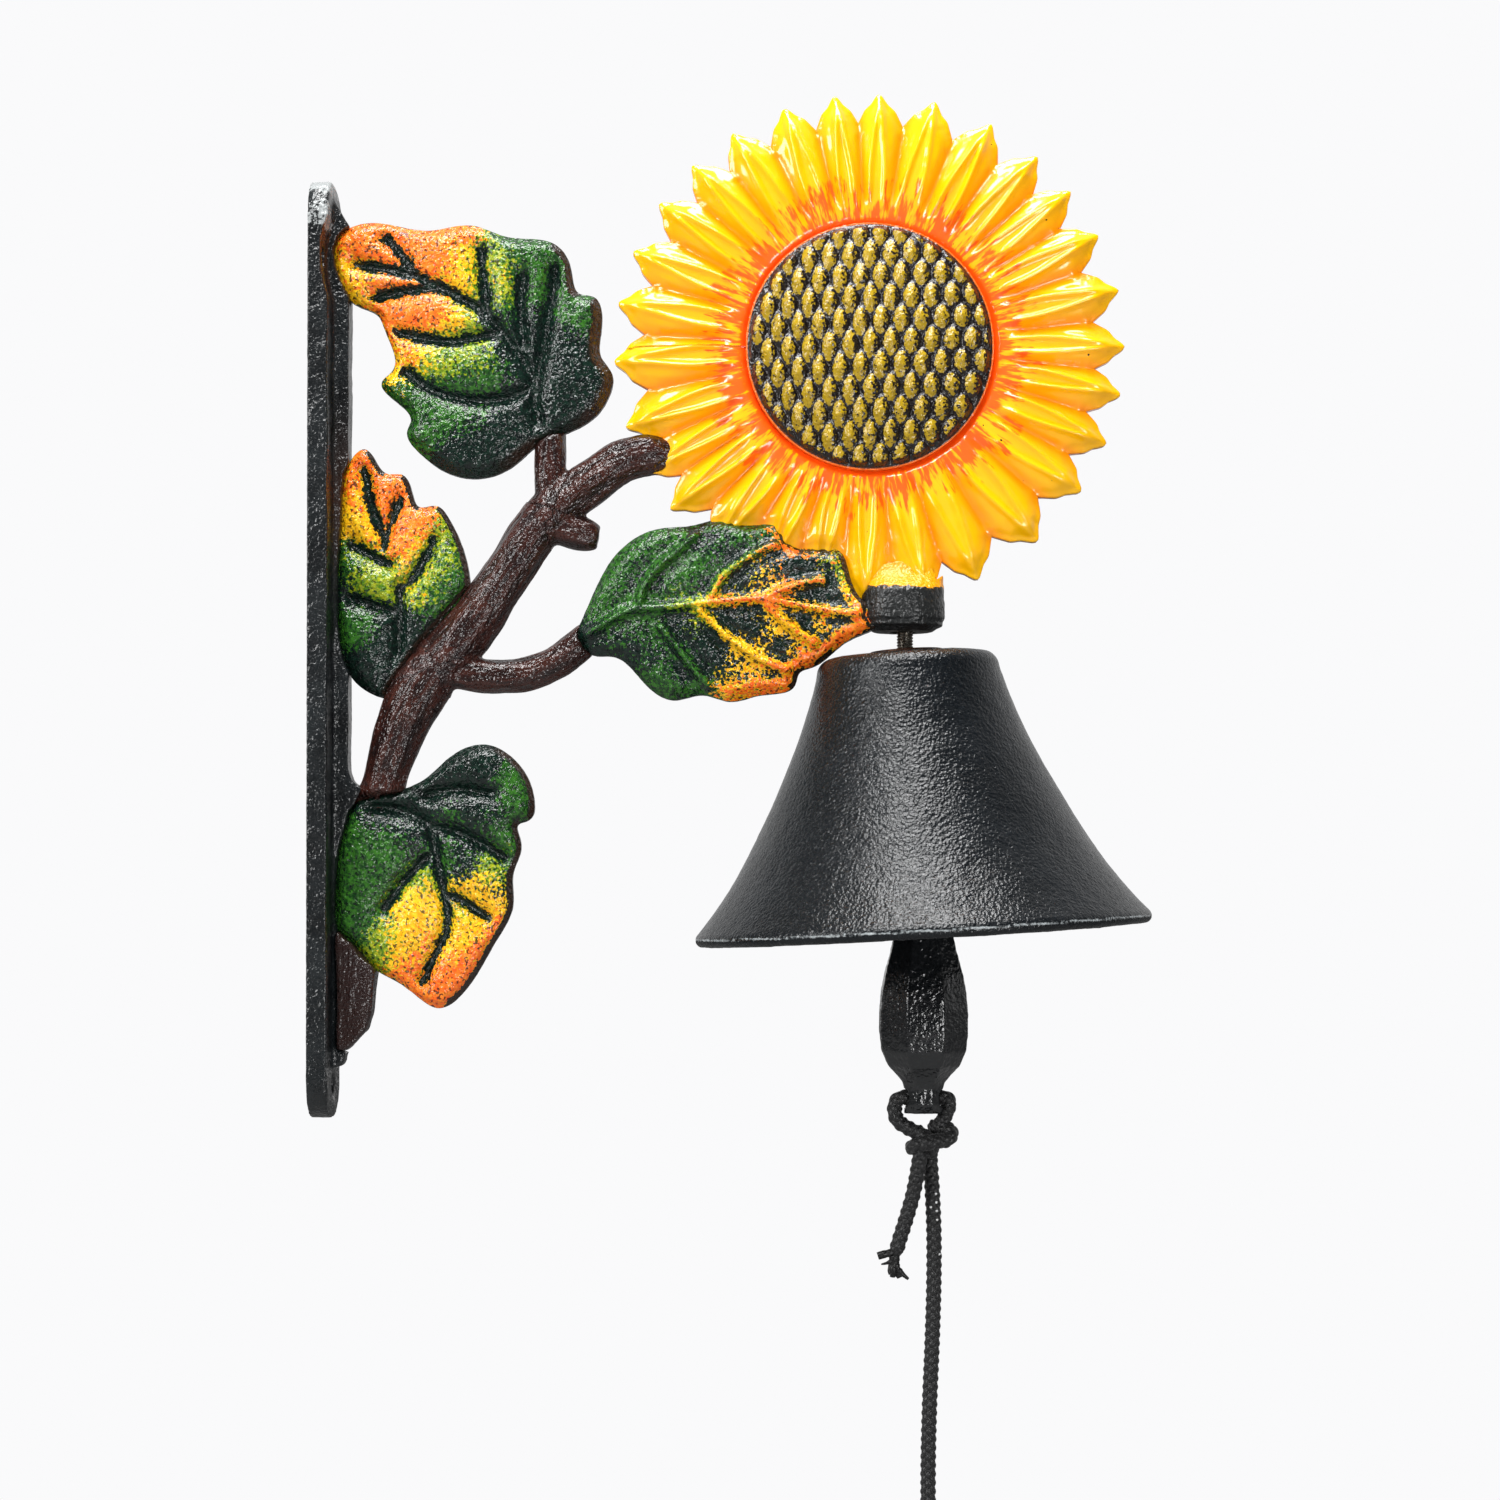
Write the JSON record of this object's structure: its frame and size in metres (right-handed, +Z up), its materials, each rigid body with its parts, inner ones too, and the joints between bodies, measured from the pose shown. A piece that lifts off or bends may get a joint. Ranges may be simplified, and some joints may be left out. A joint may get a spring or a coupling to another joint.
{
  "type": "yard dinner bell",
  "caption": "Wall-mounted cast-iron dinner bell: a sunflower and leaf bracket, a flared bell on a hook bolt, and a clapper with a pull cord.",
  "frame": {"origin": "centre of the wall plate's back face, on the wall", "axes": "+X away from the wall, +Z up, +Y along the wall, square to the bracket's middle plane"},
  "size_m": [0.1973, 0.1074, 0.4072],
  "materials": {
    "black_paint": "semi-gloss paint on cast iron",
    "brown_paint": "semi-gloss paint on cast iron",
    "leaf_paint": "hand-brushed paint on cast iron",
    "petal_paint": "gloss paint on cast iron",
    "seed_paint": "dry-brushed paint on cast iron",
    "bell_paint": "semi-gloss paint on sand-cast iron",
    "plated_steel": "dark plated steel",
    "washer_steel": "browned steel",
    "cord": "braided cord"
  },
  "bodies": {
    "root": {"wall_plate": "black_paint", "plate_rib": "black_paint", "root_stub": "brown_paint", "main_branch": "brown_paint", "branch_knob": "brown_paint", "upper_twig": "brown_paint", "front_twig": "brown_paint", "upper_leaf": "leaf_paint", "middle_leaf": "leaf_paint", "lower_leaf": "leaf_paint", "front_leaf": "leaf_paint", "petal_ring": "petal_paint", "seed_head": "seed_paint", "hanger_boss": "black_paint", "hook_bolt": "plated_steel", "seat_nut": "plated_steel"},
    "seat": {"crown_washer": "washer_steel", "seat_washer": "washer_steel"},
    "bell": {"bell": "bell_paint"},
    "clapper": {"clapper": "bell_paint"},
    "cord": {"cord_loop": "cord", "cord_knot": "cord", "cord_tail": "cord", "pull_cord": "cord", "cord_end_knot": "cord"}
  },
  "joints": [
    {"name": "bell_rock", "type": "hinge", "parent": "root", "child": "seat", "pos_m": [0.1396, 0, -0.0063], "axis": [0, -1, 0], "range_deg": [0, 4]},
    {"name": "bell_spin", "type": "hinge", "parent": "seat", "child": "bell", "pos_m": [0.14, 0, -0.0012], "axis": [-0.0576, 0, 0.9983], "continuous": true},
    {"name": "clapper_swing", "type": "hinge", "parent": "root", "child": "clapper", "pos_m": [0.1439, 0, -0.0173], "axis": [1, 0, 0], "range_deg": [-36, 36]},
    {"name": "cord_swing", "type": "hinge", "parent": "clapper", "child": "cord", "pos_m": [0.1439, 0, -0.1056], "axis": [1, 0, 0], "range_deg": [-50, 50]}
  ]
}
